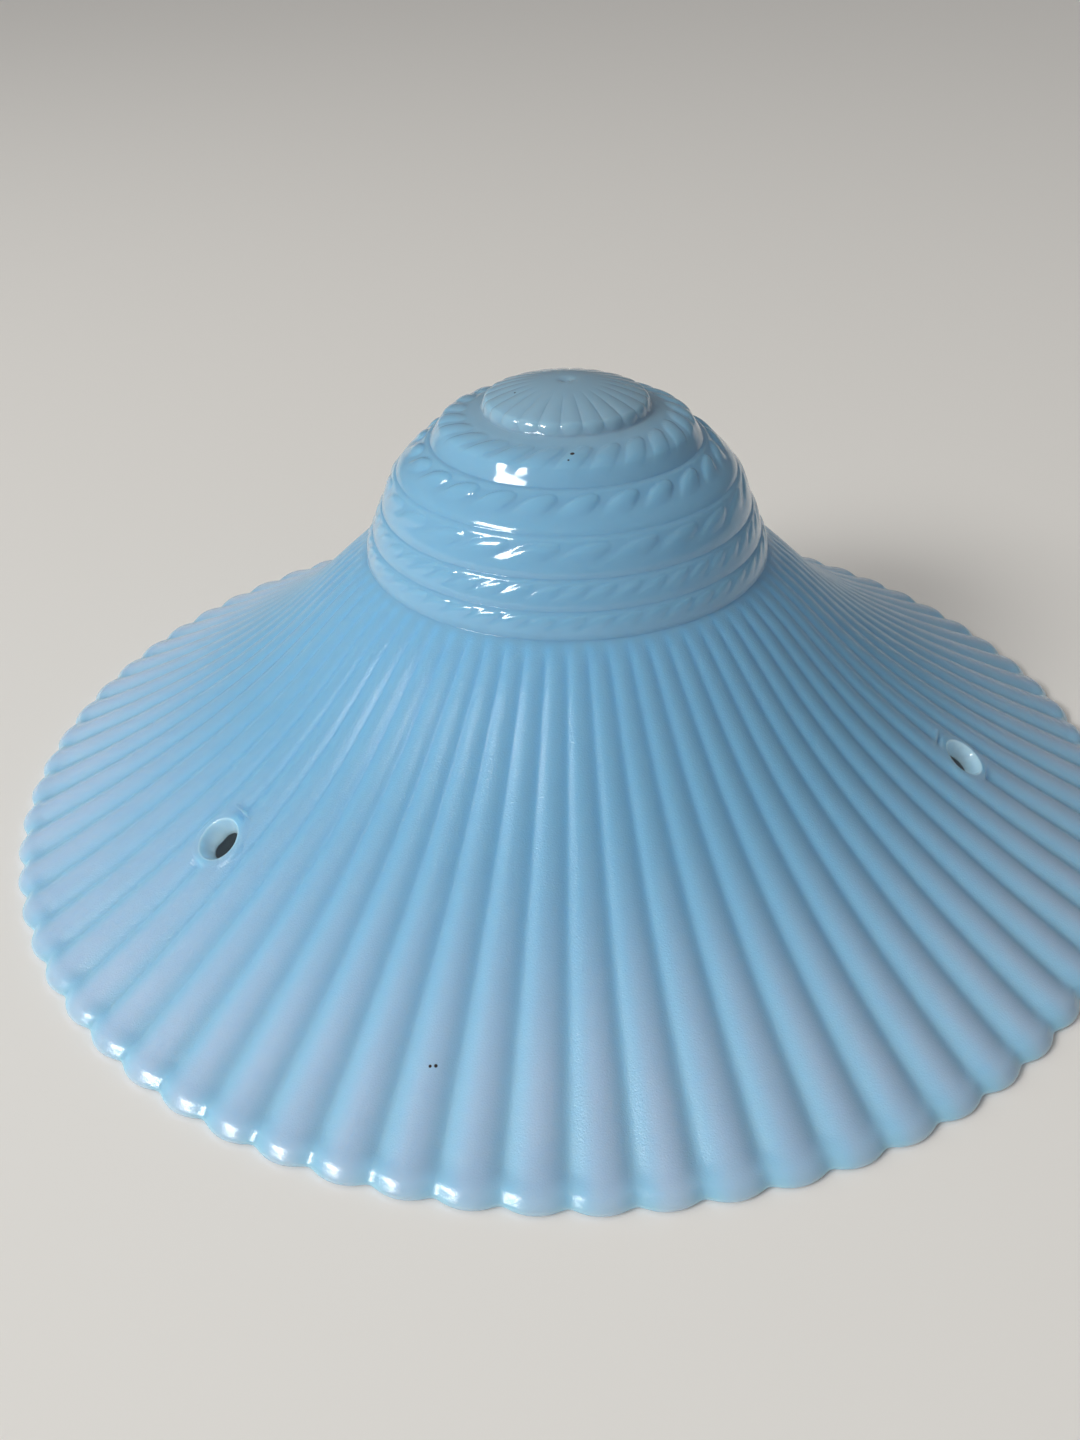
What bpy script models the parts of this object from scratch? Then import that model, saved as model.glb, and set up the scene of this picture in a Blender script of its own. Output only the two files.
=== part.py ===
"""A three-hole ceiling-lamp shade pressed in one piece of glass, standing on its rim.

The outside is a stepped dome over a fluted bell skirt, and the rim is scalloped, one lobe to each flute.
The inside is smooth. Units are metres, +Z is up, and the origin is the centre of the rim, at its lowest level.
"""

import math

import bmesh
import bpy
from mathutils import Matrix, Vector

# The skirt: its crest line is one cubic curve in (radius, height), from under the dome to the lobe tips.
RIM_RADIUS = 0.1780
SKIRT_CURVE = ((0.0607, 0.0800), (0.0836, 0.0661), (0.0915, 0.0408), (RIM_RADIUS, 0.0030))
FLUTES = 72
FLUTE_DEPTH = 0.0026
FLUTE_DEPTH_POWER = 1.6
SCALLOP_DEPTH = 0.0024

# The dome: a round button, then five stepped rings, whose ends are these grooves in (radius, height).
BUTTON_HEIGHT = 0.1305
BUTTON_EDGE = (0.0228, 0.1261)
BUTTON_POWER = 2.14
STEP_GROOVES = (
    (0.0249, 0.1225),
    (0.0396, 0.1141),
    (0.0500, 0.1054),
    (0.0549, 0.0951),
    (0.0583, 0.0873),
    SKIRT_CURVE[0],
)
RING_BULGE = (0.0025, 0.0010, 0.0009, 0.0008, 0.0009)
RING_STATIONS = (4, 3, 3, 2, 2)

# The wall, measured from the bottom of the grooves on the dome and from the crests on the skirt.
DOME_WALL = 0.0040
SKIRT_WALL = 0.0046
RIM_WALL = 0.0046

# The lip: a flat ring at height 0 that the shade stands on, from this circle out to just inside the scallops.
REST_RADIUS = RIM_RADIUS - 0.0050
LIP_UNDERCUT = 0.0005

# The holes that the lamp's hooks pass through, each with a dished mouth in a round pad.
HOLE_AZIMUTHS = (100.0, 220.0, 340.0)
HOLE_CIRCLE_RADIUS = 0.1260
HOLE_RADIUS = 0.00425
MOUTH_RADIUS = 0.0065
MOUTH_DEPTH = 0.0030
PAD_RADIUS = 0.0086
PAD_PROUD = 0.0004
PAD_DEPTH = 0.0030
CUTTER_REACH = 0.0080
HOLE_SEGMENTS = 32

# Mesh fineness.
SAMPLES_PER_FLUTE = 4
SKIRT_STEPS = (0.06, 0.22, 0.40, 0.58, 0.76, 0.90, 1.0)
INNER_SKIRT_STEPS = (0.95, 0.88, 0.75, 0.5, 0.3, 0.12)
BUTTON_STATIONS = (0.40, 0.75)

GLASS_COLOUR = (0.205, 0.447, 0.679, 1.0)
GLASS_ROUGHNESS = 0.28


def clear_scene():
    for scene_object in list(bpy.data.objects):
        bpy.data.objects.remove(scene_object, do_unlink=True)


def skirt_point(step):
    """(radius, height) on the skirt's crest line, for step 0 at the dome to 1 at the rim."""
    back = 1.0 - step
    weights = (back**3, 3 * back**2 * step, 3 * back * step**2, step**3)
    radius = sum(weight * point[0] for weight, point in zip(weights, SKIRT_CURVE))
    height = sum(weight * point[1] for weight, point in zip(weights, SKIRT_CURVE))
    return radius, height


def skirt_step(radius):
    """The step at which the crest line has this radius. The radius only grows along the curve."""
    low = 0.0
    high = 1.0
    for _ in range(40):
        middle = (low + high) / 2
        if skirt_point(middle)[0] < radius:
            low = middle
        else:
            high = middle
    return (low + high) / 2


def skirt_normal(radius):
    """Outward unit normal of the crest line, as (radial, upward)."""
    step = min(max(skirt_step(radius), 0.001), 0.999)
    before = skirt_point(step - 0.001)
    after = skirt_point(step + 0.001)
    run = after[0] - before[0]
    rise = after[1] - before[1]
    length = math.hypot(run, rise)
    return -rise / length, run / length


def across_flute(sample):
    """0 on a crest to 1 in a groove. Sample 0 is a groove, and so is every SAMPLES_PER_FLUTE after it."""
    share = (sample % SAMPLES_PER_FLUTE) / SAMPLES_PER_FLUTE
    return abs(2 * share - 1)


def lobe_fall(across):
    """How far a lobe has fallen from its crest, from 0 to 1. Its section is a shallow arc."""
    return across**2


def rim_radius(sample):
    return RIM_RADIUS - SCALLOP_DEPTH * lobe_fall(across_flute(sample))


def outer_skirt_point(sample, step):
    """A point of the fluted outside. The rows follow the scalloped rim, so they are wavy in plan."""
    start = SKIRT_CURVE[0][0]
    even_radius = skirt_point(step)[0]
    radius = start + (even_radius - start) * (rim_radius(sample) - start) / (RIM_RADIUS - start)
    height = skirt_point(skirt_step(radius))[1]
    normal = skirt_normal(radius)
    depth = FLUTE_DEPTH * (radius / RIM_RADIUS) ** FLUTE_DEPTH_POWER * lobe_fall(across_flute(sample))
    return radius - normal[0] * depth, height - normal[1] * depth


def inner_skirt_height(radius):
    """Height of the smooth inside under the skirt, at this radius."""
    crest = skirt_point(skirt_step(radius))[1]
    share = (radius - SKIRT_CURVE[0][0]) / (RIM_RADIUS - SKIRT_CURVE[0][0])
    wall = SKIRT_WALL + (RIM_WALL - SKIRT_WALL) * share
    return crest - wall / skirt_normal(radius)[1]


def ring_points(top, bottom, bulge, stations):
    """The outside of one dome ring: an arc that stands out by bulge between its two grooves."""
    run = bottom[0] - top[0]
    rise = bottom[1] - top[1]
    length = math.hypot(run, rise)
    points = []
    for station in range(1, stations):
        share = station / stations
        out = 4 * bulge * share * (1 - share)
        points.append((top[0] + share * run - out * rise / length, top[1] + share * rise + out * run / length))
    return points


def dome_outline():
    """The dome's outside in (radius, height), from beside its centre down to the skirt."""
    edge_radius, edge_height = BUTTON_EDGE
    outline = []
    for share in BUTTON_STATIONS:
        drop = (BUTTON_HEIGHT - edge_height) * share**BUTTON_POWER
        outline.append((edge_radius * share, BUTTON_HEIGHT - drop))
    outline.append(BUTTON_EDGE)
    for top, bottom, bulge, stations in zip(STEP_GROOVES, STEP_GROOVES[1:], RING_BULGE, RING_STATIONS):
        outline.append(top)
        outline.extend(ring_points(top, bottom, bulge, stations))
    outline.append(STEP_GROOVES[-1])
    return outline


def dome_inside():
    """The smooth inside of the dome in (radius, height), from the neck up, one point in from each groove."""
    line = [(0.0, STEP_GROOVES[0][1] + 0.002)] + list(STEP_GROOVES) + [skirt_point(0.12)]
    inside = []
    for before, point, after in zip(line, line[1:], line[2:]):
        run = after[0] - before[0]
        rise = after[1] - before[1]
        length = math.hypot(run, rise)
        inside.append((point[0] + DOME_WALL * rise / length, point[1] - DOME_WALL * run / length))
    return inside[::-1]


def add_ring(mesh, points):
    """One closed ring of vertices from (radius, height) points, evenly spaced in azimuth."""
    ring = []
    for index, (radius, height) in enumerate(points):
        angle = 2 * math.pi * index / len(points)
        ring.append(mesh.verts.new((radius * math.cos(angle), radius * math.sin(angle), height)))
    return ring


def join_rings(mesh, first, second):
    """Faces between two rings, each vertex of the coarser one fanned to its share of the finer one."""
    count = max(len(first), len(second))
    first_ratio = count // len(first)
    second_ratio = count // len(second)
    for index in range(count):
        after = (index + 1) % count
        corners = []
        for ring, ratio, at in (
            (first, first_ratio, index),
            (first, first_ratio, after),
            (second, second_ratio, after),
            (second, second_ratio, index),
        ):
            vertex = ring[((at + ratio // 2) // ratio) % len(ring)]
            if vertex not in corners:
                corners.append(vertex)
        if len(corners) == 4:
            mesh.faces.new(corners[:3])
            mesh.faces.new((corners[0], corners[2], corners[3]))
        elif len(corners) == 3:
            mesh.faces.new(corners)


def close_top(mesh, ring, height):
    centre = mesh.verts.new((0.0, 0.0, height))
    for index, vertex in enumerate(ring):
        mesh.faces.new((centre, vertex, ring[(index + 1) % len(ring)]))


def link_mesh(name, mesh):
    bmesh.ops.recalc_face_normals(mesh, faces=mesh.faces)
    data = bpy.data.meshes.new(name)
    mesh.to_mesh(data)
    mesh.free()
    made = bpy.data.objects.new(name, data)
    bpy.context.scene.collection.objects.link(made)
    return made


def shade_body():
    """The closed glass wall, without its holes."""
    mesh = bmesh.new()
    samples = FLUTES * SAMPLES_PER_FLUTE
    rings = [add_ring(mesh, [point] * FLUTES) for point in dome_outline()]
    close_top(mesh, rings[0], BUTTON_HEIGHT)
    for step in SKIRT_STEPS:
        rings.append(add_ring(mesh, [outer_skirt_point(sample, step) for sample in range(samples)]))
    rings.append(add_ring(mesh, [(rim_radius(sample) - LIP_UNDERCUT, 0.0) for sample in range(samples)]))
    rings.append(add_ring(mesh, [(REST_RADIUS, 0.0)] * FLUTES))
    for step in INNER_SKIRT_STEPS:
        radius = skirt_point(step)[0]
        rings.append(add_ring(mesh, [(radius, inner_skirt_height(radius))] * FLUTES))
    rings += [add_ring(mesh, [point] * FLUTES) for point in dome_inside()]
    for first, second in zip(rings, rings[1:]):
        join_rings(mesh, first, second)
    close_top(mesh, rings[-1], BUTTON_HEIGHT - DOME_WALL - 0.0010)
    return link_mesh("glass_shade", mesh)


def hole_matrix(azimuth):
    """A frame on the skirt's crest line with +Z along its outward normal."""
    height = skirt_point(skirt_step(HOLE_CIRCLE_RADIUS))[1]
    radial, upward = skirt_normal(HOLE_CIRCLE_RADIUS)
    angle = math.radians(azimuth)
    centre = Vector((HOLE_CIRCLE_RADIUS * math.cos(angle), HOLE_CIRCLE_RADIUS * math.sin(angle), height))
    normal = Vector((radial * math.cos(angle), radial * math.sin(angle), upward))
    return Matrix.Translation(centre) @ normal.to_track_quat("Z", "Y").to_matrix().to_4x4()


def turned_group(name, outline):
    """Closed turned solids, one at each hole, from an outline of (radius, height) rows, top to bottom."""
    mesh = bmesh.new()
    for azimuth in HOLE_AZIMUTHS:
        frame = hole_matrix(azimuth)
        rings = [add_ring(mesh, [row] * HOLE_SEGMENTS) for row in outline]
        for first, second in zip(rings, rings[1:]):
            join_rings(mesh, first, second)
        mesh.faces.new(rings[0])
        mesh.faces.new(rings[-1])
        bmesh.ops.transform(mesh, matrix=frame, verts=[vertex for ring in rings for vertex in ring])
    return link_mesh(name, mesh)


def add_boolean(target, tool, operation):
    tool.hide_render = True
    tool.display_type = "WIRE"
    modifier = target.modifiers.new(tool.name, "BOOLEAN")
    modifier.operation = operation
    modifier.solver = "EXACT"
    modifier.object = tool


def glass_material():
    material = bpy.data.materials.new("blue_opaline_glass")
    material.use_nodes = True
    shader = material.node_tree.nodes["Principled BSDF"]
    shader.inputs["Base Color"].default_value = GLASS_COLOUR
    shader.inputs["Roughness"].default_value = GLASS_ROUGHNESS
    shader.inputs["Metallic"].default_value = 0.0
    return material


def main():
    clear_scene()
    shade = shade_body()
    shade.data.shade_smooth()
    shade.data.set_sharp_from_angle(angle=math.radians(30))
    shade.data.materials.append(glass_material())
    pads = turned_group("hole_pads", ((PAD_RADIUS, PAD_PROUD), (PAD_RADIUS, -PAD_DEPTH)))
    mouth_slope = (MOUTH_RADIUS - HOLE_RADIUS) / MOUTH_DEPTH
    flare_radius = MOUTH_RADIUS + mouth_slope * CUTTER_REACH
    cutters = turned_group(
        "hole_cutters",
        (
            (flare_radius, PAD_PROUD + CUTTER_REACH),
            (HOLE_RADIUS, PAD_PROUD - MOUTH_DEPTH),
            (HOLE_RADIUS, -CUTTER_REACH),
        ),
    )
    add_boolean(shade, pads, "UNION")
    add_boolean(shade, cutters, "DIFFERENCE")


main()
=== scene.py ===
"""The fine surface and the looks of the pressed-glass lamp shade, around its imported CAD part.

One piece stands for the CAD node: the whole glass wall, with its petalled button, rope-twist rings, flutes,
scalloped lip, hook holes and smooth inside. Units are metres, +Z is up, the rim stands on the floor.
"""

import math

import bmesh
import bpy
import numpy as np
from mathutils import Matrix, Vector


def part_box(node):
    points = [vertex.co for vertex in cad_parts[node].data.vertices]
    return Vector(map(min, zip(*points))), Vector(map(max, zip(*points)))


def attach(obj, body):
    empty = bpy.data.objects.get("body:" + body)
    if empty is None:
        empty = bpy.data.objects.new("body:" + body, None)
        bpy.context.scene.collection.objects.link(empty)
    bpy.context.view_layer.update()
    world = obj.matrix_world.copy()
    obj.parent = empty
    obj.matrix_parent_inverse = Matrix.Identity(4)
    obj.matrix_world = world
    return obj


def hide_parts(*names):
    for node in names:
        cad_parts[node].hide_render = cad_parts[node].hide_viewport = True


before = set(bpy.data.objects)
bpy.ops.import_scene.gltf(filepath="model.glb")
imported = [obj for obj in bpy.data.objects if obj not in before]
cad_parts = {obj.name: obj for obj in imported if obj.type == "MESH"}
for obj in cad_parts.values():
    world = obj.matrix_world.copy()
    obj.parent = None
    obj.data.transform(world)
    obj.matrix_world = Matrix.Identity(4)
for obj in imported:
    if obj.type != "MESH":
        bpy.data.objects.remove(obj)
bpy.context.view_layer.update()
node_low, node_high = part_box("glass_shade")

# ---------------------------------------------------------------- proportions, in mm
# The shapes are given for a shade whose crests reach RIM_MM; MM is one of its millimetres in the frame.
FLUTES = 72
FLUTE_ANGLE = 2 * math.pi / FLUTES
RIM = (node_high.x - node_low.x) / 2 / math.cos(FLUTE_ANGLE / 2)
TOP = node_high.z
RIM_MM = 178.0
MM = RIM / RIM_MM
TOP_MM = TOP / MM

# The skirt's crests follow one cubic curve, under which the flutes deepen and their cusps scallop the rim.
SKIRT_CURVE = ((60.7, 80.0), (82.6, 65.2), (91.5, 40.8), (RIM_MM, 3.0))
FLUTE_DEPTH = 2.6
FLUTE_POWER = 1.6
SCALLOP_DEPTH = 2.4
CUSP_ROUNDING = 0.21
# The radii between which the flutes fade in under the last ring.
FLUTE_TOP = (61.6, 67.0)

# The button falls by its sag at its reach; its edge then rolls under into the first groove.
BUTTON_SAG = 2.76
BUTTON_REACH = 18.42
BUTTON_POWER = 2.14
BUTTON_EDGE_RADIUS = 22.8
BUTTON_ROLL = ((0.95, -0.38), (-0.62, 1.40))
# Radius and height of the grooves under the button and under each ring; the last is where the skirt starts.
GROOVES = ((24.9, 122.5), (39.6, 114.1), (50.0, 105.4), (54.9, 95.1), (58.3, 87.3), (60.7, 80.0))
# The first ring is a rounded shoulder over a cone: the cone's length, its slope and the shoulder's first
# slope in degrees, the reach of the shoulder's two handles, how much flatter than the cone it ends in
# radians, and the roll from the cone into the groove.
CONE_LENGTH = 5.0
CONE_SLOPE = 59.0
SHOULDER_SLOPE = 13.0
SHOULDER_HANDLES = (6.2, 2.6)
SHOULDER_END = 0.06
CONE_ROLL = ((0.75, -1.3), (-0.62, 1.3))
# How far each further ring stands out, where along it that is, and how sharply it starts and rolls under.
RING_SHAPE = (
    (0.90, 0.42, 3.6, 5.0),
    (0.85, 0.40, 4.0, 4.0),
    (0.65, 0.38, 4.0, 3.2),
    (0.80, 0.38, 3.4, 2.8),
)

# The petals grow between two radii and a little more up to a third; their round ends start and stop a
# little before the groove. Their turn is in degrees.
PETALS = 24
PETAL_TURN = 3.6
PETAL_HEIGHT = 0.32
PETAL_RADII = (8.5, 19.0)
PETAL_END_RISE = 0.3
PETAL_END_RADIUS = 23.0
PETAL_END = 3.4
PETAL_GAP = 0.35
PETAL_FADE = 0.5
PETAL_ROUNDNESS = 0.62
DIMPLE_RADIUS = 2.6
DIMPLE_SHARPNESS = 1.5
DIMPLE_DEPTH = 0.85

# The twisted strands on each ring: count, turn of an arch's top in degrees, and in mm: half width, arch
# height, distance of its top from the ring's upper groove, lean, start and end of the fade, height.
STRANDS = (
    (24, 10.5, 3.2, 3.2, 4.2, 0.80, 9.0, 15.5, 0.50),
    (24, 8.8, 4.2, 2.8, 2.1, 0.95, 4.8, 9.4, 0.90),
    (24, 10.0, 5.3, 2.6, 2.0, 1.45, 4.4, 8.0, 0.52),
    (48, 4.6, 3.0, 2.2, 1.4, 1.30, 3.4, 6.2, 0.34),
    (48, 3.6, 3.1, 2.0, 0.9, 1.40, 3.0, 5.6, 0.30),
)
STRAND_ROUNDNESS = 0.55
# Between the strands the ring sinks by a share of their height, over a short reach at the arches' tops.
STRAND_HOLLOW = 0.40
STRAND_HOLLOW_REACH = 1.2

SKIRT_WALL = 4.6
DOME_WALL = 4.0
# The inside starts at the ring that stands on the floor, follows the skirt between two radii and then passes
# under each groove, square to the line through its neighbours. The first groove's upper neighbour is a rise
# over it at the centre, and the last groove's lower one is at a share along the skirt's curve. The crown is
# thicker by its extra. The corners are rounded, except outside the last radius.
REST_RADIUS = 173.4
INSIDE_SKIRT = (RIM_MM - 12.0, 68.0)
SKIRT_TOP_SHARE = 0.12
CROWN_RISE = 2.0
CROWN_EXTRA = 1.2
INSIDE_ROUNDING = 3.0
INSIDE_SHARP_RADIUS = RIM_MM - 20.0

# The lip: how far in it leaves the skirt, the turning point of its outer roll (inset, height, and slope
# in degrees), the height where it leaves the skirt and the share of that height's change that the roll
# follows, the height of its widest line and the inset of its underside.
LIP_REACH = 6.5
LIP_SHOULDER = (1.5, 3.1, 47.0)
LIP_START_HEIGHT = 5.8
LIP_FOLLOW = 0.25
LIP_LEVEL = 1.15
LIP_INSET = 1.4
# Handles of the lip's three curves: shares of the first one's run, the second one's share and rise, and
# the third one's share of the level and inset.
LIP_HANDLES = (0.36, 0.28)
LIP_ROLL_HANDLES = (0.5, 0.6)
LIP_UNDER_HANDLES = (0.45, 0.6)
LIP_ROWS = (9, 6, 5)

HOLE_AZIMUTHS = (100.0, 220.0, 340.0)
HOLE_CIRCLE = 126.0
# Rings of the hole patch from the flutes in to the bore: distance from the hole's axis and height over
# the crests.
HOLE_RINGS = (
    (9.20, 0.03),
    (8.85, 0.05),
    (8.50, 0.07),
    (8.10, 0.09),
    (7.70, 0.10),
    (7.30, 0.10),
    (6.90, 0.12),
    (6.62, 0.14),
    (6.45, 0.10),
    (6.32, -0.02),
    (6.20, -0.25),
    (6.02, -0.70),
    (5.60, -1.60),
    (5.20, -2.40),
    (4.85, -3.10),
    (4.55, -3.70),
    (4.34, -4.15),
    (4.25, -4.40),
    (4.30, -4.55),
    (4.55, -4.66),
)
# The knocked-out bore of one hole keeps a tongue of glass on one side: azimuth of the hole, reach, angle
# and half width of the tongue in degrees, and the depths between which it grows.
TONGUE_HOLE = 220.0
TONGUE_REACH = 1.2
TONGUE_ANGLE = 180.0
TONGUE_HALF_WIDTH = 38.0
TONGUE_DEPTHS = (-1.5, -4.1)
# The patch replaces the flutes out to its radius; the flat pad ends at the smaller one.
HOLE_PATCH = 9.6
HOLE_PAD = 7.6
HOLE_SEGMENTS = 96
HOLE_INNER_RINGS = (5.1, 6.2)
# How far past the patch the grid is cleared, outside and inside, and how far off the hole's plane.
HOLE_CLEARANCE = (0.3, 0.8)
HOLE_PLANE_REACH = (8.0, 12.0)

# ---------------------------------------------------------------- mesh fineness
COLUMN_STEPS = 7
COLUMNS_PER_FLUTE = 2 * COLUMN_STEPS
DENSE_STEP = 0.05
CORNER_SOFTNESS = 0.15
ROW_SPACING = {"button": 0.75, "ring": 0.60, "skirt": 2.2, "skirt_top": 0.7, "inside": 3.5}
SKIRT_TOP_LENGTH = 10.0
ROWS_PER_RADIAN = 8.0
LAST_ROW_SHARE = 0.992
# Points along each stretch of the outline before it is resampled.
BUTTON_POINTS = 60
ROLL_POINTS = 30
SHOULDER_POINTS = 60
CONE_POINTS = 20
RING_POINTS = 80
SKIRT_POINTS = 400
INSIDE_POINTS = 120
INSIDE_STEP = 0.5


def smooth_step(low, high, value):
    share = np.clip((np.asarray(value, float) - low) / (high - low), 0.0, 1.0)
    return share * share * (3 - 2 * share)


def bezier(corners, count):
    """count + 1 points along one cubic curve."""
    share = np.linspace(0.0, 1.0, count + 1)[:, None]
    first, second, third, last = [np.array(corner, float) for corner in corners]
    back = 1.0 - share
    return back**3 * first + 3 * back**2 * share * second + 3 * back * share**2 * third + share**3 * last


def shifted(place, shift):
    return place[0] + shift[0], place[1] + shift[1]


def resample(points, spacing):
    """The same polyline with evenly spaced points."""
    along = np.r_[0.0, np.cumsum(np.hypot(*np.diff(points, axis=0).T))]
    places = np.linspace(0.0, along[-1], int(along[-1] / spacing) + 1)
    return np.column_stack([np.interp(places, along, points[:, axis]) for axis in (0, 1)])


def soften(points, sigma_steps):
    """Rounds a polyline's corners, keeping its two ends in place."""
    reach = int(4 * sigma_steps)
    window = np.exp(-0.5 * (np.arange(-reach, reach + 1) / sigma_steps) ** 2)
    window /= window.sum()
    before = 2 * points[0] - points[reach:0:-1]
    after = 2 * points[-1] - points[-2 : -reach - 2 : -1]
    padded = np.vstack([before, points, after])
    return np.column_stack([np.convolve(padded[:, axis], window, mode="valid") for axis in (0, 1)])


def button_outline():
    """The button's outside, from its centre to the first groove."""
    radius = np.linspace(0.0, BUTTON_EDGE_RADIUS, BUTTON_POINTS)
    height = TOP_MM - BUTTON_SAG * (radius / BUTTON_REACH) ** BUTTON_POWER
    edge = (radius[-1], height[-1])
    groove = GROOVES[0]
    corners = (edge, shifted(edge, BUTTON_ROLL[0]), shifted(groove, BUTTON_ROLL[1]), groove)
    return np.vstack([np.column_stack([radius, height]), bezier(corners, ROLL_POINTS)[1:]])


def ring_outline(top, bottom, shape):
    """One ring's outside: it leaves its upper groove gently and rolls under at the lower one."""
    bulge, peak, leave, roll = shape
    share = np.linspace(0.0, 1.0, RING_POINTS)
    before = 1 - (np.clip(peak - share, 0, None) / peak) ** leave
    after = 1 - (np.clip(share - peak, 0, None) / (1 - peak)) ** roll
    out = bulge * np.minimum(before, after)
    run = bottom[0] - top[0]
    rise = bottom[1] - top[1]
    length = math.hypot(run, rise)
    radius = top[0] + share * run - out * rise / length
    height = top[1] + share * rise + out * run / length
    return np.column_stack([radius, height])


def first_ring_outline(top, bottom):
    """The first ring's outside: almost level at the groove, then over a shoulder and down a cone."""
    slope = math.radians(CONE_SLOPE)
    start = math.radians(SHOULDER_SLOPE)
    end = slope - SHOULDER_END
    first, second = SHOULDER_HANDLES
    knee = shifted(bottom, (-CONE_LENGTH * math.cos(slope), CONE_LENGTH * math.sin(slope)))
    corners = (
        top,
        shifted(top, (first * math.cos(start), -first * math.sin(start))),
        shifted(knee, (-second * math.cos(end), second * math.sin(end))),
        knee,
    )
    cone = bezier((knee, shifted(knee, CONE_ROLL[0]), shifted(bottom, CONE_ROLL[1]), bottom), CONE_POINTS)
    return np.vstack([bezier(corners, SHOULDER_POINTS), cone[1:]])


class Outline:
    """The outside's meridian in mm: places, outward normals, turning and where each ring starts."""

    def __init__(self):
        parts = [button_outline(), first_ring_outline(GROOVES[0], GROOVES[1])[1:]]
        for top, bottom, shape in zip(GROOVES[1:], GROOVES[2:], RING_SHAPE):
            parts.append(ring_outline(top, bottom, shape)[1:])
        parts.append(bezier(SKIRT_CURVE, SKIRT_POINTS)[1:])
        raw = resample(np.vstack(parts), DENSE_STEP)
        self.points = soften(raw, CORNER_SOFTNESS / DENSE_STEP)
        self.points[0, 0] = 0.0
        tangent = np.gradient(self.points, axis=0)
        tangent /= np.hypot(*tangent.T)[:, None]
        self.normals = np.column_stack([-tangent[:, 1], tangent[:, 0]])
        self.along = np.r_[0.0, np.cumsum(np.hypot(*np.diff(self.points, axis=0).T))]
        angle = np.unwrap(np.arctan2(tangent[:, 1], tangent[:, 0]))
        self.turning = np.abs(np.gradient(angle, self.along))
        self.starts = [0.0] + [self.along[self.nearest(groove)] for groove in GROOVES]

    def nearest(self, place):
        return int(np.argmin(np.hypot(self.points[:, 0] - place[0], self.points[:, 1] - place[1])))

    def at(self, values, along):
        return np.interp(along, self.along, values)

    def rows(self):
        """Distances along the meridian for the rows, closer where it turns and at the top of the skirt."""
        spacing = np.where(self.along < self.starts[1], ROW_SPACING["button"], ROW_SPACING["ring"])
        skirt = self.along > self.starts[-1]
        near = smooth_step(self.starts[-1] + SKIRT_TOP_LENGTH, self.starts[-1], self.along)
        closer = (ROW_SPACING["skirt"] - ROW_SPACING["skirt_top"]) * near
        spacing = np.where(skirt, ROW_SPACING["skirt"] - closer, spacing)
        density = 1 / spacing + ROWS_PER_RADIAN * self.turning
        total = np.r_[0.0, np.cumsum((density[1:] + density[:-1]) / 2 * np.diff(self.along))]
        wanted = np.linspace(0.0, total[-1], int(total[-1]) + 1)[1:]
        return np.interp(wanted, total, self.along)


outline = Outline()


def crest(radius):
    """Height of the skirt's crest line at a radius, and its outward normal, in mm."""
    first = outline.nearest(GROOVES[-1])
    radii = outline.points[first:, 0]
    height = np.interp(radius, radii, outline.points[first:, 1])
    normal_r = np.interp(radius, radii, outline.normals[first:, 0])
    normal_z = np.interp(radius, radii, outline.normals[first:, 1])
    return height, normal_r, normal_z


def lobe_fall(azimuth):
    """How far a lobe has fallen from its crest: a shallow arc whose cusp is a little rounded."""
    across = np.abs(2 * np.mod(azimuth / FLUTE_ANGLE, 1.0) - 1)
    rounding = np.clip(across - 1 + CUSP_ROUNDING, 0, None) / CUSP_ROUNDING
    return across**2 - CUSP_ROUNDING * rounding**2


def flute_relief(radius, azimuth):
    """How far the surface lies under the crest line, along the normal."""
    fade_in = smooth_step(*FLUTE_TOP, radius)
    return -FLUTE_DEPTH * (radius / RIM_MM) ** FLUTE_POWER * fade_in * lobe_fall(azimuth)


def rim_radius(azimuth):
    return RIM_MM - SCALLOP_DEPTH * lobe_fall(azimuth)


def petal_relief(radius, along, azimuth):
    """The button's petals, cut in from its smooth top."""
    turn = (azimuth - math.radians(PETAL_TURN)) / (2 * math.pi / PETALS)
    across = 2 * (np.mod(turn + 0.5, 1.0) - 0.5)
    end_rise = 1 + PETAL_END_RISE * smooth_step(PETAL_RADII[1], PETAL_END_RADIUS, radius)
    height = PETAL_HEIGHT * smooth_step(*PETAL_RADII, radius) * end_rise
    end = outline.starts[1]
    past = np.clip((along - end + PETAL_END) / (PETAL_END - PETAL_GAP), 0, None)
    inside = np.clip(1 - across**2 - past**2, 0, None) ** PETAL_ROUNDNESS
    return -height * (1 - inside) * smooth_step(end, end - PETAL_FADE, along)


def dimple_relief(radius):
    """The dimple at the button's centre."""
    return -DIMPLE_DEPTH * np.exp(-((radius / DIMPLE_RADIUS * DIMPLE_SHARPNESS) ** 2))


def strand_relief(ring, radius, along, azimuth):
    """The twisted strands: rounded arches that lean to one side and sink into the ring lower down."""
    count, turn, half_width, arch, top, lean, fade_start, fade_end, height = STRANDS[ring]
    down = along - outline.starts[ring + 1]
    pitch = 2 * math.pi / count
    centre = math.radians(turn) - (down - top) * lean / radius
    across = (np.mod((azimuth - centre) / pitch + 0.5, 1.0) - 0.5) * pitch * radius / half_width
    above = np.clip(top + arch - down, 0, None) / arch
    inside = np.clip(1 - across**2 - above**2, 0, None) ** STRAND_ROUNDNESS
    hollow = STRAND_HOLLOW * smooth_step(top - STRAND_HOLLOW_REACH, top + STRAND_HOLLOW_REACH, down)
    return height * (inside - hollow) * smooth_step(fade_end, fade_start, down)


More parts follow.
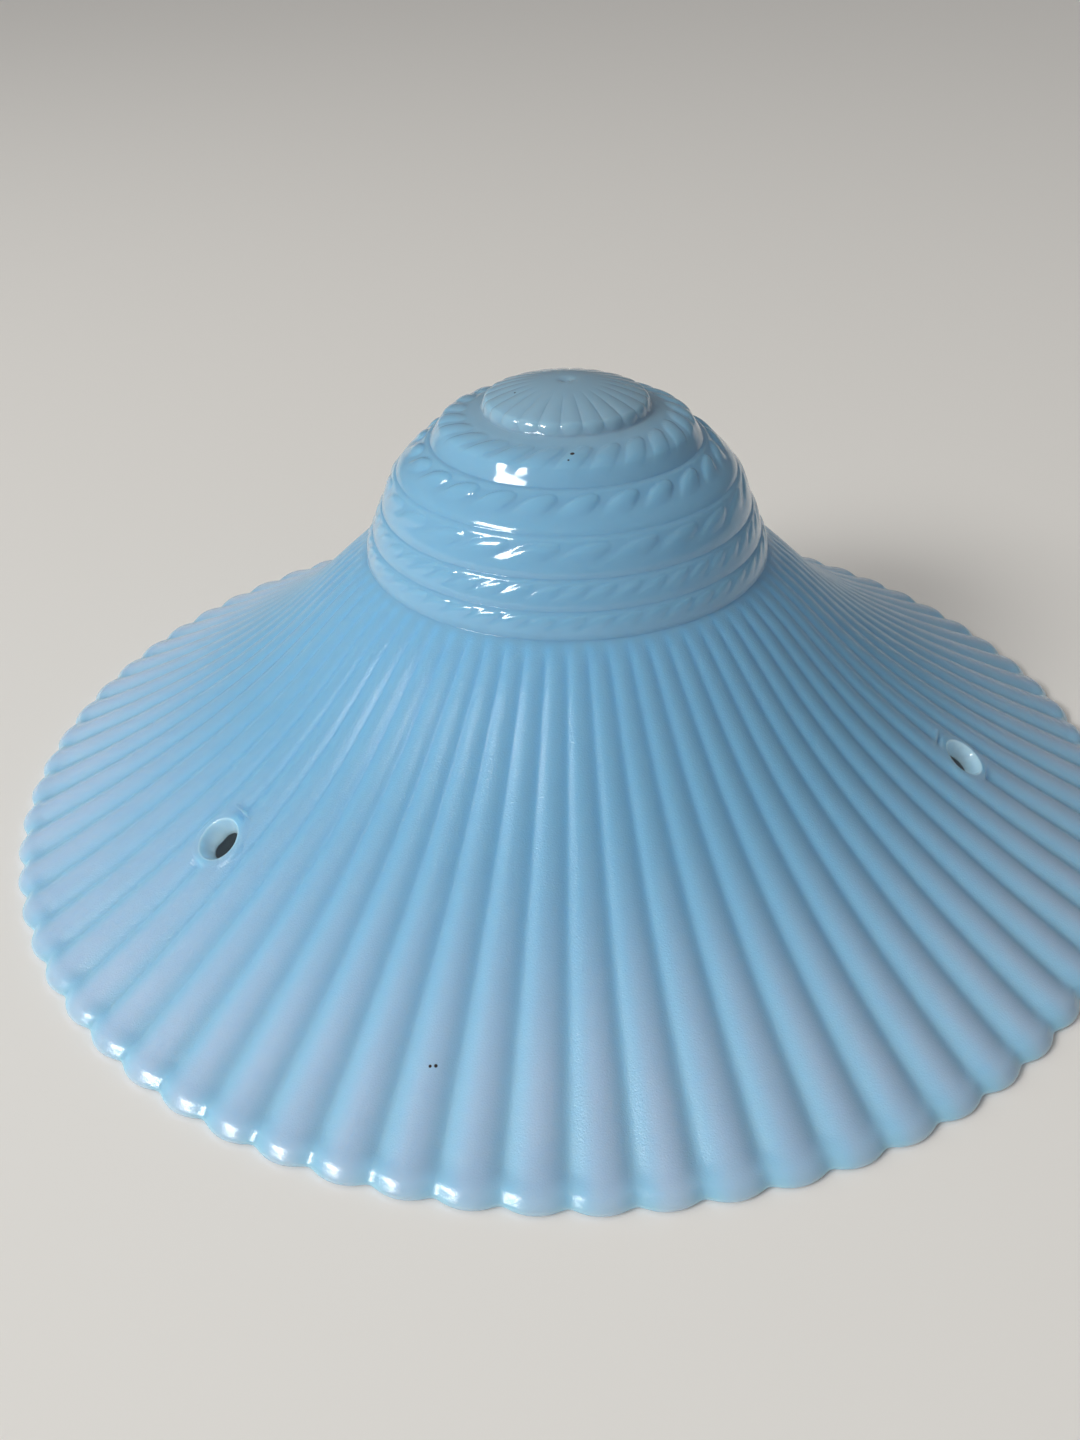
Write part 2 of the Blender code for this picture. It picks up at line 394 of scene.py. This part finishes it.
def build_columns():
    """Azimuths of the mesh's columns, closer together at the cusps."""
    half = np.sin(np.linspace(-math.pi / 2, math.pi / 2, COLUMNS_PER_FLUTE + 1)[:-1])
    within = (half + 1) / 2
    return ((np.arange(FLUTES)[:, None] + within[None, :]) * FLUTE_ANGLE).ravel()


def skirt_row(azimuth, share):
    """One row of the fluted skirt, at a share of the way from the last groove to the lip."""
    start = GROOVES[-1][0]
    radius = start + share * (rim_radius(azimuth) - LIP_REACH - start)
    height, normal_r, normal_z = crest(radius)
    relief = flute_relief(radius, azimuth)
    return radius + normal_r * relief, height + normal_z * relief


def dome_row(azimuth, along):
    """One row of the button or of a ring, at a distance along the meridian."""
    radius = outline.at(outline.points[:, 0], along)
    height = outline.at(outline.points[:, 1], along)
    normal_r = outline.at(outline.normals[:, 0], along)
    normal_z = outline.at(outline.normals[:, 1], along)
    if along < outline.starts[1]:
        relief = petal_relief(radius, along, azimuth) + dimple_relief(radius)
    else:
        ring = sum(along >= start for start in outline.starts[2:-1])
        relief = strand_relief(ring, radius, along, azimuth)
    return radius + normal_r * relief, height + normal_z * relief


def outside_rows(azimuth):
    """(radius, height) in mm of each row of the outside at each column."""
    start = GROOVES[-1][0]
    end = RIM_MM - LIP_REACH
    rows = []
    for along in outline.rows():
        if along < outline.starts[-1]:
            rows.append(dome_row(azimuth, along))
            continue
        share = (outline.at(outline.points[:, 0], along) - start) / (end - start)
        if share > LAST_ROW_SHARE:
            break
        rows.append(skirt_row(azimuth, share))
    rows.append(skirt_row(azimuth, 1.0))
    return rows


def lip_rows(azimuth, last):
    """The rounded lip, from the last row of the outside round to the flat ring that the shade stands on."""
    edge = rim_radius(azimuth)
    start_r, start_z = last
    inset, roll_height, roll_slope = LIP_SHOULDER
    shoulder_r = edge - inset
    shoulder_z = roll_height + (start_z - LIP_START_HEIGHT) * LIP_FOLLOW
    _, normal_r, normal_z = crest(edge - LIP_REACH)
    slope = math.tan(math.radians(roll_slope))
    run = shoulder_r - start_r
    floor = 0 * edge
    level = LIP_LEVEL + floor
    first, second = (share * run for share in LIP_HANDLES)
    roll = LIP_ROLL_HANDLES[0] * inset
    curves = (
        (
            (start_r, start_z),
            (start_r + first, start_z - first * normal_r / normal_z),
            (shoulder_r - second, shoulder_z + second * slope),
            (shoulder_r, shoulder_z),
        ),
        (
            (shoulder_r, shoulder_z),
            (edge - roll, shoulder_z - roll * slope),
            (edge, level + LIP_ROLL_HANDLES[1]),
            (edge, level),
        ),
        (
            (edge, level),
            (edge, LIP_UNDER_HANDLES[0] * level),
            (edge - LIP_UNDER_HANDLES[1], floor),
            (edge - LIP_INSET, floor),
        ),
    )
    rows = []
    for corners, count in zip(curves, LIP_ROWS):
        for share in np.arange(1, count + 1) / count:
            back = 1 - share
            weights = (back**3, 3 * back**2 * share, 3 * back * share**2, share**3)
            radius = sum(weight * corner[0] for weight, corner in zip(weights, corners))
            height = sum(weight * corner[1] for weight, corner in zip(weights, corners))
            rows.append((radius, height))
    return rows


def inside_outline():
    """The smooth inside's meridian, from the flat ring up to the middle of the dome."""
    radius = np.linspace(*INSIDE_SKIRT, INSIDE_POINTS)
    height, _, normal_z = crest(radius)
    skirt = np.column_stack([radius, height - SKIRT_WALL / normal_z])
    above_first = (0.0, GROOVES[0][1] + CROWN_RISE)
    below_last = bezier(SKIRT_CURVE, SKIRT_POINTS)[round(SKIRT_TOP_SHARE * SKIRT_POINTS)]
    line = [above_first] + list(GROOVES) + [tuple(below_last)]
    dome = []
    for before, point, after in zip(line, line[1:], line[2:]):
        run = after[0] - before[0]
        rise = after[1] - before[1]
        length = math.hypot(run, rise)
        dome.append((point[0] + DOME_WALL * rise / length, point[1] - DOME_WALL * run / length))
    crown = (0.0, TOP_MM - DOME_WALL - CROWN_EXTRA)
    raw = np.vstack([[(REST_RADIUS, 0.0)], skirt, dome[::-1], [crown]])
    fine = resample(raw, INSIDE_STEP)
    soft = soften(fine, INSIDE_ROUNDING / INSIDE_STEP)
    keep = fine[:, 0] > INSIDE_SHARP_RADIUS
    soft[keep] = fine[keep]
    soft[-1] = crown
    return soft


inner_line = inside_outline()


def inner_height(radius):
    return np.interp(radius, inner_line[::-1, 0], inner_line[::-1, 1])


def hole_axes(azimuth_degrees):
    """Centre of a hole on the crest line, and its tangential, down-slope and outward directions, in mm."""
    angle = math.radians(azimuth_degrees)
    height, normal_r, normal_z = [float(value) for value in crest(HOLE_CIRCLE)]
    centre = np.array([HOLE_CIRCLE * math.cos(angle), HOLE_CIRCLE * math.sin(angle), height])
    normal = np.array([normal_r * math.cos(angle), normal_r * math.sin(angle), normal_z])
    tangential = np.array([-math.sin(angle), math.cos(angle), 0.0])
    return centre, tangential, np.cross(tangential, normal), normal


def crest_places(places):
    """Points of the crest surface over the given points, with their normals, radii and azimuths."""
    radius = np.hypot(places[:, 0], places[:, 1])
    azimuth = np.arctan2(places[:, 1], places[:, 0])
    height, normal_r, normal_z = crest(radius)
    points = np.column_stack([places[:, 0], places[:, 1], height])
    normals = np.column_stack([normal_r * np.cos(azimuth), normal_r * np.sin(azimuth), normal_z])
    return points, normals, radius, azimuth


def tongue_shape(angle):
    """1 in the middle of the tongue of glass to 0 at its sides."""
    away = (np.degrees(angle) - TONGUE_ANGLE + 180.0) % 360.0 - 180.0
    return np.exp(-((away / TONGUE_HALF_WIDTH) ** 2))


def circle_directions(axes):
    """Angles round a hole and the unit directions there, in its plane."""
    _, tangential, down, _ = axes
    angle = np.arange(HOLE_SEGMENTS) * 2 * math.pi / HOLE_SEGMENTS
    return angle, np.cos(angle)[:, None] * tangential + np.sin(angle)[:, None] * down


def hole_ring_points(axes, distance, height, flute_share, tongue_reach=0.0):
    """One ring of a hole's patch. flute_share 1 lies on the fluted surface, 0 at the given height."""
    angle, directions = circle_directions(axes)
    distance = (distance - tongue_reach * tongue_shape(angle))[:, None]
    flat = axes[0] + distance * directions
    points, normals, radius, azimuth = crest_places(flat)
    lift = flute_share * flute_relief(radius, azimuth) + (1 - flute_share) * height
    return points + normals * lift[:, None]


def inner_ring_points(axes, distance):
    """One ring of a hole's patch on the smooth inside."""
    centre, _, _, normal = axes
    _, directions = circle_directions(axes)
    flat = centre - SKIRT_WALL * normal + distance * directions
    flat[:, 2] = inner_height(np.hypot(flat[:, 0], flat[:, 1]))
    return flat


def patch_layers(axes, has_tongue):
    """All rings of a hole's patch, from the flutes through the dished bore to the inside."""
    layers = [hole_ring_points(axes, HOLE_PATCH, 0.0, 1.0)]
    for distance, height in HOLE_RINGS:
        flute_share = float(smooth_step(HOLE_PAD, HOLE_PATCH, distance))
        reach = TONGUE_REACH * float(smooth_step(*TONGUE_DEPTHS, height)) if has_tongue else 0.0
        layers.append(hole_ring_points(axes, distance, height, flute_share, reach))
    return layers + [inner_ring_points(axes, distance) for distance in HOLE_INNER_RINGS]


def vertices_round_hole(mesh, places, outside_count, axes):
    """The grid's vertices that a hole's patch replaces, on the outside and on the inside."""
    centre, _, _, normal = axes
    outer_side = np.arange(len(places)) < outside_count
    offset = places - centre
    height = offset @ normal
    distance = np.linalg.norm(offset - height[:, None] * normal, axis=1)
    outer_reach = HOLE_PATCH + HOLE_CLEARANCE[0]
    inner_reach = HOLE_INNER_RINGS[-1] + HOLE_CLEARANCE[1]
    near_outer = outer_side & (distance < outer_reach) & (np.abs(height) < HOLE_PLANE_REACH[0])
    near_inner = ~outer_side & (distance < inner_reach) & (np.abs(height) < HOLE_PLANE_REACH[1])
    return [mesh.verts[int(index)] for index in np.flatnonzero(near_outer | near_inner)]


def clear_grid(mesh, doomed, outside_count):
    """Takes out the faces at the given vertices; returns the borders left outside and inside."""
    gone = dict.fromkeys(face for vertex in doomed for face in vertex.link_faces)
    faces = list(gone)
    edges = dict.fromkeys(edge for face in faces for edge in face.edges)
    border = [edge for edge in edges if any(face not in gone for face in edge.link_faces)]
    border_sides = [edge.verts[0].index < outside_count for edge in border]
    bmesh.ops.delete(mesh, geom=faces, context="FACES")
    outer_border = [edge for edge, outer in zip(border, border_sides) if outer]
    inner_border = [edge for edge, outer in zip(border, border_sides) if not outer]
    return outer_border, inner_border


def cut_holes(mesh, outside_count):
    """Fits a turned patch with its bore into the grid at each hole."""
    mesh.verts.ensure_lookup_table()
    places = np.array([vertex.co for vertex in mesh.verts]) / MM
    axes_of_holes = [hole_axes(azimuth_degrees) for azimuth_degrees in HOLE_AZIMUTHS]
    replaced = [vertices_round_hole(mesh, places, outside_count, axes) for axes in axes_of_holes]
    for azimuth_degrees, axes, doomed in zip(HOLE_AZIMUTHS, axes_of_holes, replaced):
        borders = clear_grid(mesh, doomed, outside_count)
        layers = patch_layers(axes, azimuth_degrees == TONGUE_HOLE)
        rings = [[mesh.verts.new(point * MM) for point in layer] for layer in layers]
        for first, second in zip(rings, rings[1:]):
            for index in range(HOLE_SEGMENTS):
                after = (index + 1) % HOLE_SEGMENTS
                mesh.faces.new((first[index], first[after], second[after], second[index]))
        for ring, border in zip((rings[0], rings[-1]), borders):
            loop = [mesh.edges.get(pair) for pair in zip(ring, ring[1:] + ring[:1])]
            bmesh.ops.triangle_fill(mesh, use_beauty=True, use_dissolve=False, edges=loop + border)
    loose = [vertex for vertex in mesh.verts if not vertex.link_faces]
    bmesh.ops.delete(mesh, geom=loose, context="VERTS")
    bmesh.ops.recalc_face_normals(mesh, faces=mesh.faces)


def build_shade():
    """The whole wall as one closed mesh: a grid of rows and columns with the holes cut into it."""
    azimuth = build_columns()
    count = len(azimuth)
    rows = outside_rows(azimuth)
    rows += lip_rows(azimuth, rows[-1])
    outside_count = len(rows) * count
    inner = resample(inner_line, ROW_SPACING["inside"])
    rows += [(radius + 0 * azimuth, height + 0 * azimuth) for radius, height in inner[:-1]]
    cosine = np.cos(azimuth)
    sine = np.sin(azimuth)
    places = [np.column_stack([radius * cosine, radius * sine, height]) for radius, height in rows]
    centres = np.array([(0.0, 0.0, TOP_MM - DIMPLE_DEPTH), (0.0, 0.0, inner[-1][1])])
    places = np.vstack(places + [centres]) * MM
    column = np.arange(count)
    after = (column + 1) % count
    base = (np.arange(len(rows) - 1) * count)[:, None]
    below = base + count
    quads = np.stack([base + column, below + column, below + after, base + after], axis=-1)
    faces = quads.reshape(-1, 4).tolist()
    top_centre = len(rows) * count
    inner_centre = top_centre + 1
    faces += [(top_centre, int(first), int(second)) for first, second in zip(column, after)]
    last = top_centre - count
    faces += [(inner_centre, int(last + second), int(last + first)) for first, second in zip(column, after)]
    data = bpy.data.meshes.new("shade_glass")
    data.from_pydata(places.tolist(), [], faces)
    mesh = bmesh.new()
    mesh.from_mesh(data)
    cut_holes(mesh, outside_count)
    mesh.to_mesh(data)
    mesh.free()
    data.shade_smooth()
    shade = bpy.data.objects.new("shade_glass", data)
    bpy.context.scene.collection.objects.link(shade)
    return shade


shade = build_shade()


# ---------------------------------------------------------------- materials
class Nodes:
    """A material's nodes, made and linked in one call each."""

    def __init__(self, name):
        self.material = bpy.data.materials.new(name)
        self.material.use_nodes = True
        self.tree = self.material.node_tree
        self.shader = self.tree.nodes["Principled BSDF"]

    def put(self, socket, value):
        if isinstance(value, bpy.types.NodeSocket):
            self.tree.links.new(value, socket)
        else:
            socket.default_value = value

    def add(self, kind, inputs=(), output=0, **settings):
        node = self.tree.nodes.new(kind)
        for name, value in settings.items():
            setattr(node, name, value)
        for name, value in dict(inputs).items():
            self.put(node.inputs[name], value)
        return node.outputs[output]

    def math(self, operation, first, second=0.0):
        return self.add("ShaderNodeMath", {0: first, 1: second}, operation=operation)

    def plus(self, first, second):
        return self.math("ADD", first, second)

    def minus(self, first, second):
        return self.math("SUBTRACT", first, second)

    def times(self, first, second):
        return self.math("MULTIPLY", first, second)

    def larger(self, first, second):
        return self.math("MAXIMUM", first, second)

    def ramp(self, value, low, high):
        """0 at low to 1 at high, eased."""
        inputs = {"Value": value, "From Min": low, "From Max": high}
        return self.add("ShaderNodeMapRange", inputs, interpolation_type="SMOOTHSTEP")

    def mix(self, share, first, second):
        inputs = {0: share, 6: first, 7: second}
        return self.add("ShaderNodeMix", inputs, output=2, data_type="RGBA", clamp_factor=True)

    def noise(self, position, scale, detail, roughness):
        inputs = {"Vector": position, "Scale": scale, "Detail": detail, "Roughness": roughness}
        return self.add("ShaderNodeTexNoise", inputs)

    def distance(self, position, centre):
        """Distance from a place given in mm."""
        inputs = {0: position, 1: tuple(MM * value for value in centre)}
        return self.add("ShaderNodeVectorMath", inputs, output=1, operation="DISTANCE")

    def set(self, name, value):
        self.put(self.shader.inputs[name], value)


GLASS_BLUE = (0.195, 0.440, 0.640, 1.0)
# Painted light and shade on the skirt's flutes: their grooves lighter and bluer, their crests greyer, more
# so towards the rim, where the glass is also thinner and paler and takes a painted warm reflection.
GROOVE_BLUE = (0.195, 0.465, 0.700, 1.0)
CREST_BLUE = (0.200, 0.430, 0.625, 1.0)
RIM_GROOVE = (0.300, 0.565, 0.820, 1.0)
# The rim's lavender is a painted warm reflection of the room over glass that is paler where it is thinner.
RIM_WARM_REFLECTION = (0.435, 0.585, 0.790, 1.0)
# Painted reflection and shade: a pale wall's reflection and dimmer light grey the dome, more so the button.
DOME_REFLECTION_GREY = (0.260, 0.425, 0.545, 1.0)
SPECK_BROWN = (0.03, 0.02, 0.02, 1.0)
# Painted light: the holes' dished mouths are made pale and aglow, as if lit by light carried through the
# glass.
DISH_PAINTED_LIGHT = (0.42, 0.62, 0.74, 1.0)
# The crests' painted shade stripe, shifted towards the flutes' shaded side: its shift as a share of a flute,
# and where across the flute it starts and is full.
SHADING_STRIPE_SHIFT = 0.07
SHADING_STRIPE_RAMP = (0.95, 0.15)
# Radii in mm between which each stretch of the glass changes its look.
DOME_RAMP = (63.0, 60.0)
UNDER_DOME_RAMP = (98.0, 70.0)
RIM_RAMP = (92.0, 170.0)
LIP_RAMP = (169.0, 177.0)
BUTTON_RAMP = (42.0, 20.0)
DISH_RAMP = (6.9, 6.3)
# The clouds in the rim's painted warm reflection: noise scale, detail and roughness, and their least and
# further share.
REFLECTION_CLOUD = (22.0, 3.0, 0.55)
REFLECTION_CLOUD_SHARES = (0.45, 0.7)
# Painted reflection and shade: how grey the rings and the button are; painted light: how pale and how aglow
# a hole's dish is.
DOME_REFLECTION_SHARE = 0.2
BUTTON_REFLECTION_SHARE = 0.8
DISH_PAINTED_LIGHT_SHARE = 0.6
DISH_PAINTED_GLOW = 0.12
# The satin skirt and, as differences from it, the fire-polished dome, lip and dishes.
SATIN_ROUGHNESS = 0.23
POLISH_ROUGHNESS = 0.12
SATIN_SPECULAR = 0.8
POLISH_SPECULAR = 0.3
POLISH_COAT = 0.5
COAT_ROUGHNESS = 0.06
LIP_POLISH = 0.5
UNDER_DOME_POLISH = 0.6
# The satin's fine grain, which the polish takes away, and the pressing's long waves.
GRAIN = (2400.0, 2.0, 0.6)
GRAIN_POLISHED = 0.97
WAVE = (160.0, 2.0, 0.5)
WAVE_SHARE = 0.25
BUMP_STRENGTH = 0.80
BUMP_DISTANCE = 0.00012
# The glow of light inside the glass.
SCATTER_WEIGHT = 0.80
SCATTER_COLOURS = (0.55, 0.85, 1.0)
SCATTER_REACH = 9.0
GLASS_IOR = 1.5
# Dark specks in the glass: radius, azimuth in degrees, size; and the shares of the size where they start
# and are full.
SPECKS = (
    (32.4, -87.1, 0.72),
    (34.8, -89.0, 0.42),
    (15.5, -158.0, 0.30),
    (75.1, -150.2, 0.35),
    (151.3, -101.9, 0.50),
    (151.6, -102.4, 0.42),
)
SPECK_RAMP = (1.1, 0.7)


def radial_ramp(nodes, distance, ends):
    return nodes.ramp(distance, ends[0] * MM, ends[1] * MM)


def flute_shading_stripe(nodes, across_x, across_y):
    """Painted light and shade across the flutes: 1 on their greyer crests to 0 in their bluer grooves."""
    turn = nodes.math("DIVIDE", nodes.math("ARCTAN2", across_y, across_x), FLUTE_ANGLE)
    within = nodes.math("FRACT", nodes.minus(turn, SHADING_STRIPE_SHIFT))
    across = nodes.math("ABSOLUTE", nodes.minus(nodes.times(within, 2.0), 1.0))
    return nodes.ramp(across, *SHADING_STRIPE_RAMP)


def glass_colour(nodes, position, radius, stripe, on_dome):
    """Blue glass with its specks; painted reflection and shade grey the dome and the button, the rim is
    paler with thinner glass and a painted warm reflection, and the flutes carry painted light and shade
    stripes.
    """
    near_rim = radial_ramp(nodes, radius, RIM_RAMP)
    on_button = radial_ramp(nodes, radius, BUTTON_RAMP)
    least, further = REFLECTION_CLOUD_SHARES
    # Painted reflection: towards the rim the crests take a clouded warm tint, and the grooves grow paler,
    # partly thinner glass and partly painted light.
    cloud = nodes.noise(position, *REFLECTION_CLOUD)
    pale = nodes.times(near_rim, nodes.plus(least, nodes.times(cloud, further)))
    grooves = nodes.mix(near_rim, GROOVE_BLUE, RIM_GROOVE)
    crests = nodes.mix(pale, CREST_BLUE, RIM_WARM_REFLECTION)
    # Painted light and shade: lit blue grooves and shaded grey crests on the flutes.
    fluted = nodes.mix(stripe, grooves, crests)
    # Painted reflection and shade on the rings and the button.
    reflection_share = nodes.plus(nodes.times(on_dome, DOME_REFLECTION_SHARE), nodes.times(on_button, BUTTON_REFLECTION_SHARE))
    colour = nodes.mix(reflection_share, nodes.mix(on_dome, fluted, GLASS_BLUE), DOME_REFLECTION_GREY)
    for speck_radius, azimuth, size in SPECKS:
        angle = math.radians(azimuth)
        height = float(np.interp(speck_radius, outline.points[:, 0], outline.points[:, 1]))
        centre = (speck_radius * math.cos(angle), speck_radius * math.sin(angle), height)
        speck = nodes.ramp(nodes.distance(position, centre), *(share * size * MM for share in SPECK_RAMP))
        colour = nodes.mix(speck, colour, SPECK_BROWN)
    return colour


def hole_dishes(nodes, position):
    """1 in the dished mouths of the holes."""
    masks = []
    for azimuth_degrees in HOLE_AZIMUTHS:
        centre = hole_axes(azimuth_degrees)[0]
        masks.append(radial_ramp(nodes, nodes.distance(position, centre), DISH_RAMP))
    return nodes.larger(nodes.larger(masks[0], masks[1]), masks[2])


def glass_material():
    nodes = Nodes("opaline_blue_glass")
    position = nodes.add("ShaderNodeTexCoord", output=3)
    split = nodes.tree.nodes.new("ShaderNodeSeparateXYZ")
    nodes.put(split.inputs[0], position)
    across_x, across_y, _ = split.outputs
    squares = nodes.plus(nodes.math("POWER", across_x, 2.0), nodes.math("POWER", across_y, 2.0))
    radius = nodes.math("SQRT", squares)
    on_dome = radial_ramp(nodes, radius, DOME_RAMP)
    in_dish = hole_dishes(nodes, position)
    stripe = flute_shading_stripe(nodes, across_x, across_y)
    colour = glass_colour(nodes, position, radius, stripe, on_dome)
    # Painted light in the holes' dishes: a pale colour and a faint glow, though no lamp is there.
    nodes.set("Base Color", nodes.mix(nodes.times(in_dish, DISH_PAINTED_LIGHT_SHARE), colour, DISH_PAINTED_LIGHT))
    nodes.set("Emission Color", DISH_PAINTED_LIGHT)
    nodes.set("Emission Strength", nodes.times(in_dish, DISH_PAINTED_GLOW))
    nodes.set("Subsurface Weight", SCATTER_WEIGHT)
    nodes.set("Subsurface Radius", SCATTER_COLOURS)
    nodes.set("Subsurface Scale", SCATTER_REACH * MM)
    nodes.set("IOR", GLASS_IOR)

    lip_polish = nodes.times(radial_ramp(nodes, radius, LIP_RAMP), LIP_POLISH)
    polish = nodes.larger(nodes.larger(on_dome, lip_polish), in_dish)
    under_dome = nodes.times(radial_ramp(nodes, radius, UNDER_DOME_RAMP), UNDER_DOME_POLISH)
    smoother = nodes.larger(polish, under_dome)
    nodes.set("Roughness", nodes.minus(SATIN_ROUGHNESS, nodes.times(smoother, POLISH_ROUGHNESS)))
    nodes.set("Specular IOR Level", nodes.minus(SATIN_SPECULAR, nodes.times(polish, POLISH_SPECULAR)))
    nodes.set("Coat Weight", nodes.times(polish, POLISH_COAT))
    nodes.set("Coat Roughness", COAT_ROUGHNESS)

    grain_share = nodes.minus(1.0, nodes.times(polish, GRAIN_POLISHED))
    grain = nodes.times(nodes.noise(position, *GRAIN), grain_share)
    wave = nodes.times(nodes.noise(position, *WAVE), WAVE_SHARE)
    inputs = {"Height": nodes.plus(grain, wave), "Strength": BUMP_STRENGTH, "Distance": BUMP_DISTANCE}
    nodes.set("Normal", nodes.add("ShaderNodeBump", inputs))
    return nodes.material


shade.data.materials.append(glass_material())
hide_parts("glass_shade")
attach(shade, "root")

# ---------------------------------------------------------------- stage, light and camera
FLOOR_HALF_SIZE = 40.0
FLOOR_GAP = 0.0002
FLOOR_COLOUR = (0.85, 0.83, 0.79, 1.0)
FLOOR_ROUGHNESS = 0.75

# The window: direction in degrees, distance, width and height in metres, power.
WINDOW_AZIMUTH = -140.0
WINDOW_ELEVATION = 31.0
WINDOW_DISTANCE = 3.0
WINDOW_SIZE = (1.25, 0.65)
WINDOW_POWER = 50.0
DAYLIGHT = (1.0, 0.99, 0.97)
WARM_LIGHT = (1.0, 0.66, 0.52)
# The room's soft light: name, azimuth, elevation and spread in degrees, strength, colour.
SKIES = (
    ("overhead", -155.0, 60.0, 90.0, 0.49, DAYLIGHT),
    ("left_sky", -165.0, 40.0, 80.0, 0.86, DAYLIGHT),
    ("right_warmth", -55.0, 25.0, 50.0, 0.14, WARM_LIGHT),
)
GLOW_POWER = 0.035
GLOW_COLOUR = (1.0, 0.86, 0.74)
GLOW_SIZE = 0.02
GLOW_HEIGHT = 0.45
ROOM_COLOUR = (0.90, 0.92, 0.95, 1.0)
ROOM_STRENGTH = 0.16
WALL_COLOUR = (0.42, 0.41, 0.39, 1.0)

# The camera's place in rim radii, its angles in radians and its lens on a 36 mm sensor.
CAMERA_DISTANCE = 1.9081
CAMERA_HEIGHT = 1.3652
CAMERA_PITCH = 0.5934
CAMERA_YAW = -0.0268
CAMERA_ROLL = -0.0181
CAMERA_LENS = 30.38
CAMERA_SENSOR = 36.0
CAMERA_NEAR = 0.01


def add_floor():
    size = FLOOR_HALF_SIZE
    corners = [(-size, -size), (size, -size), (size, size), (-size, size)]
    data = bpy.data.meshes.new("floor")
    data.from_pydata([(x, y, -FLOOR_GAP) for x, y in corners], [], [(0, 1, 2, 3)])
    floor = bpy.data.objects.new("floor", data)
    bpy.context.scene.collection.objects.link(floor)
    nodes = Nodes("pale_floor")
    nodes.set("Base Color", FLOOR_COLOUR)
    nodes.set("Roughness", FLOOR_ROUGHNESS)
    data.materials.append(nodes.material)


def towards(azimuth, elevation):
    around = math.radians(azimuth)
    up = math.radians(elevation)
    return Vector((math.cos(around) * math.cos(up), math.sin(around) * math.cos(up), math.sin(up)))


def add_lamp(name, kind, power, colour):
    light = bpy.data.lights.new(name, kind)
    light.energy = power
    light.color = colour
    lamp = bpy.data.objects.new(name, light)
    bpy.context.scene.collection.objects.link(lamp)
    return lamp


def add_window():
    """A soft rectangular light that faces the middle of the shade and shows in its gloss."""
    lamp = add_lamp("window", "AREA", WINDOW_POWER, DAYLIGHT)
    lamp.data.shape = "RECTANGLE"
    lamp.data.size, lamp.data.size_y = WINDOW_SIZE
    direction = towards(WINDOW_AZIMUTH, WINDOW_ELEVATION)
    lamp.location = Vector((0.0, 0.0, 0.5 * TOP)) + direction * WINDOW_DISTANCE
    lamp.rotation_euler = direction.to_track_quat("Z", "Y").to_euler()
    lamp.visible_camera = False


def add_sky(name, azimuth, elevation, spread, strength, colour):
    """Even light from one side of the room, kept out of the gloss."""
    lamp = add_lamp(name, "SUN", strength, colour)
    lamp.data.angle = math.radians(spread)
    lamp.rotation_euler = towards(azimuth, elevation).to_track_quat("Z", "Y").to_euler()
    lamp.visible_glossy = False


def add_inner_glow():
    """The little light that passes through the glass, seen on the floor through the hook holes."""
    lamp = add_lamp("inner_glow", "POINT", GLOW_POWER, GLOW_COLOUR)
    lamp.data.shadow_soft_size = GLOW_SIZE
    lamp.location = (0.0, 0.0, GLOW_HEIGHT * TOP)
    lamp.visible_camera = False
    lamp.visible_glossy = False


def add_world():
    """Dim even light from all round, seen by the camera as a pale wall."""
    world = bpy.data.worlds.new("studio")
    world.use_nodes = True
    tree = world.node_tree
    room = tree.nodes["Background"]
    room.inputs["Color"].default_value = ROOM_COLOUR
    room.inputs["Strength"].default_value = ROOM_STRENGTH
    wall = tree.nodes.new("ShaderNodeBackground")
    wall.inputs["Color"].default_value = WALL_COLOUR
    seen = tree.nodes.new("ShaderNodeLightPath")
    mix = tree.nodes.new("ShaderNodeMixShader")
    tree.links.new(seen.outputs["Is Camera Ray"], mix.inputs[0])
    tree.links.new(room.outputs[0], mix.inputs[1])
    tree.links.new(wall.outputs[0], mix.inputs[2])
    tree.links.new(mix.outputs[0], tree.nodes["World Output"].inputs["Surface"])
    bpy.context.scene.world = world


def add_camera():
    pitch, yaw, roll = CAMERA_PITCH, CAMERA_YAW, CAMERA_ROLL
    forward = Vector((math.sin(yaw) * math.cos(pitch), math.cos(yaw) * math.cos(pitch), -math.sin(pitch)))
    level = Vector((math.cos(yaw), -math.sin(yaw), 0.0))
    up = level.cross(forward)
    right = math.cos(roll) * level + math.sin(roll) * up
    top = -math.sin(roll) * level + math.cos(roll) * up
    data = bpy.data.cameras.new("camera")
    data.lens = CAMERA_LENS
    data.sensor_width = CAMERA_SENSOR
    data.clip_start = CAMERA_NEAR
    camera = bpy.data.objects.new("camera", data)
    bpy.context.scene.collection.objects.link(camera)
    rotation = Matrix((right, top, -forward)).transposed().to_4x4()
    place = Vector((0.0, -CAMERA_DISTANCE * RIM, CAMERA_HEIGHT * RIM))
    camera.matrix_world = Matrix.Translation(place) @ rotation
    bpy.context.scene.camera = camera


add_floor()
add_world()
add_window()
for sky in SKIES:
    add_sky(*sky)
add_inner_glow()
add_camera()
bpy.context.scene.view_settings.view_transform = "Standard"
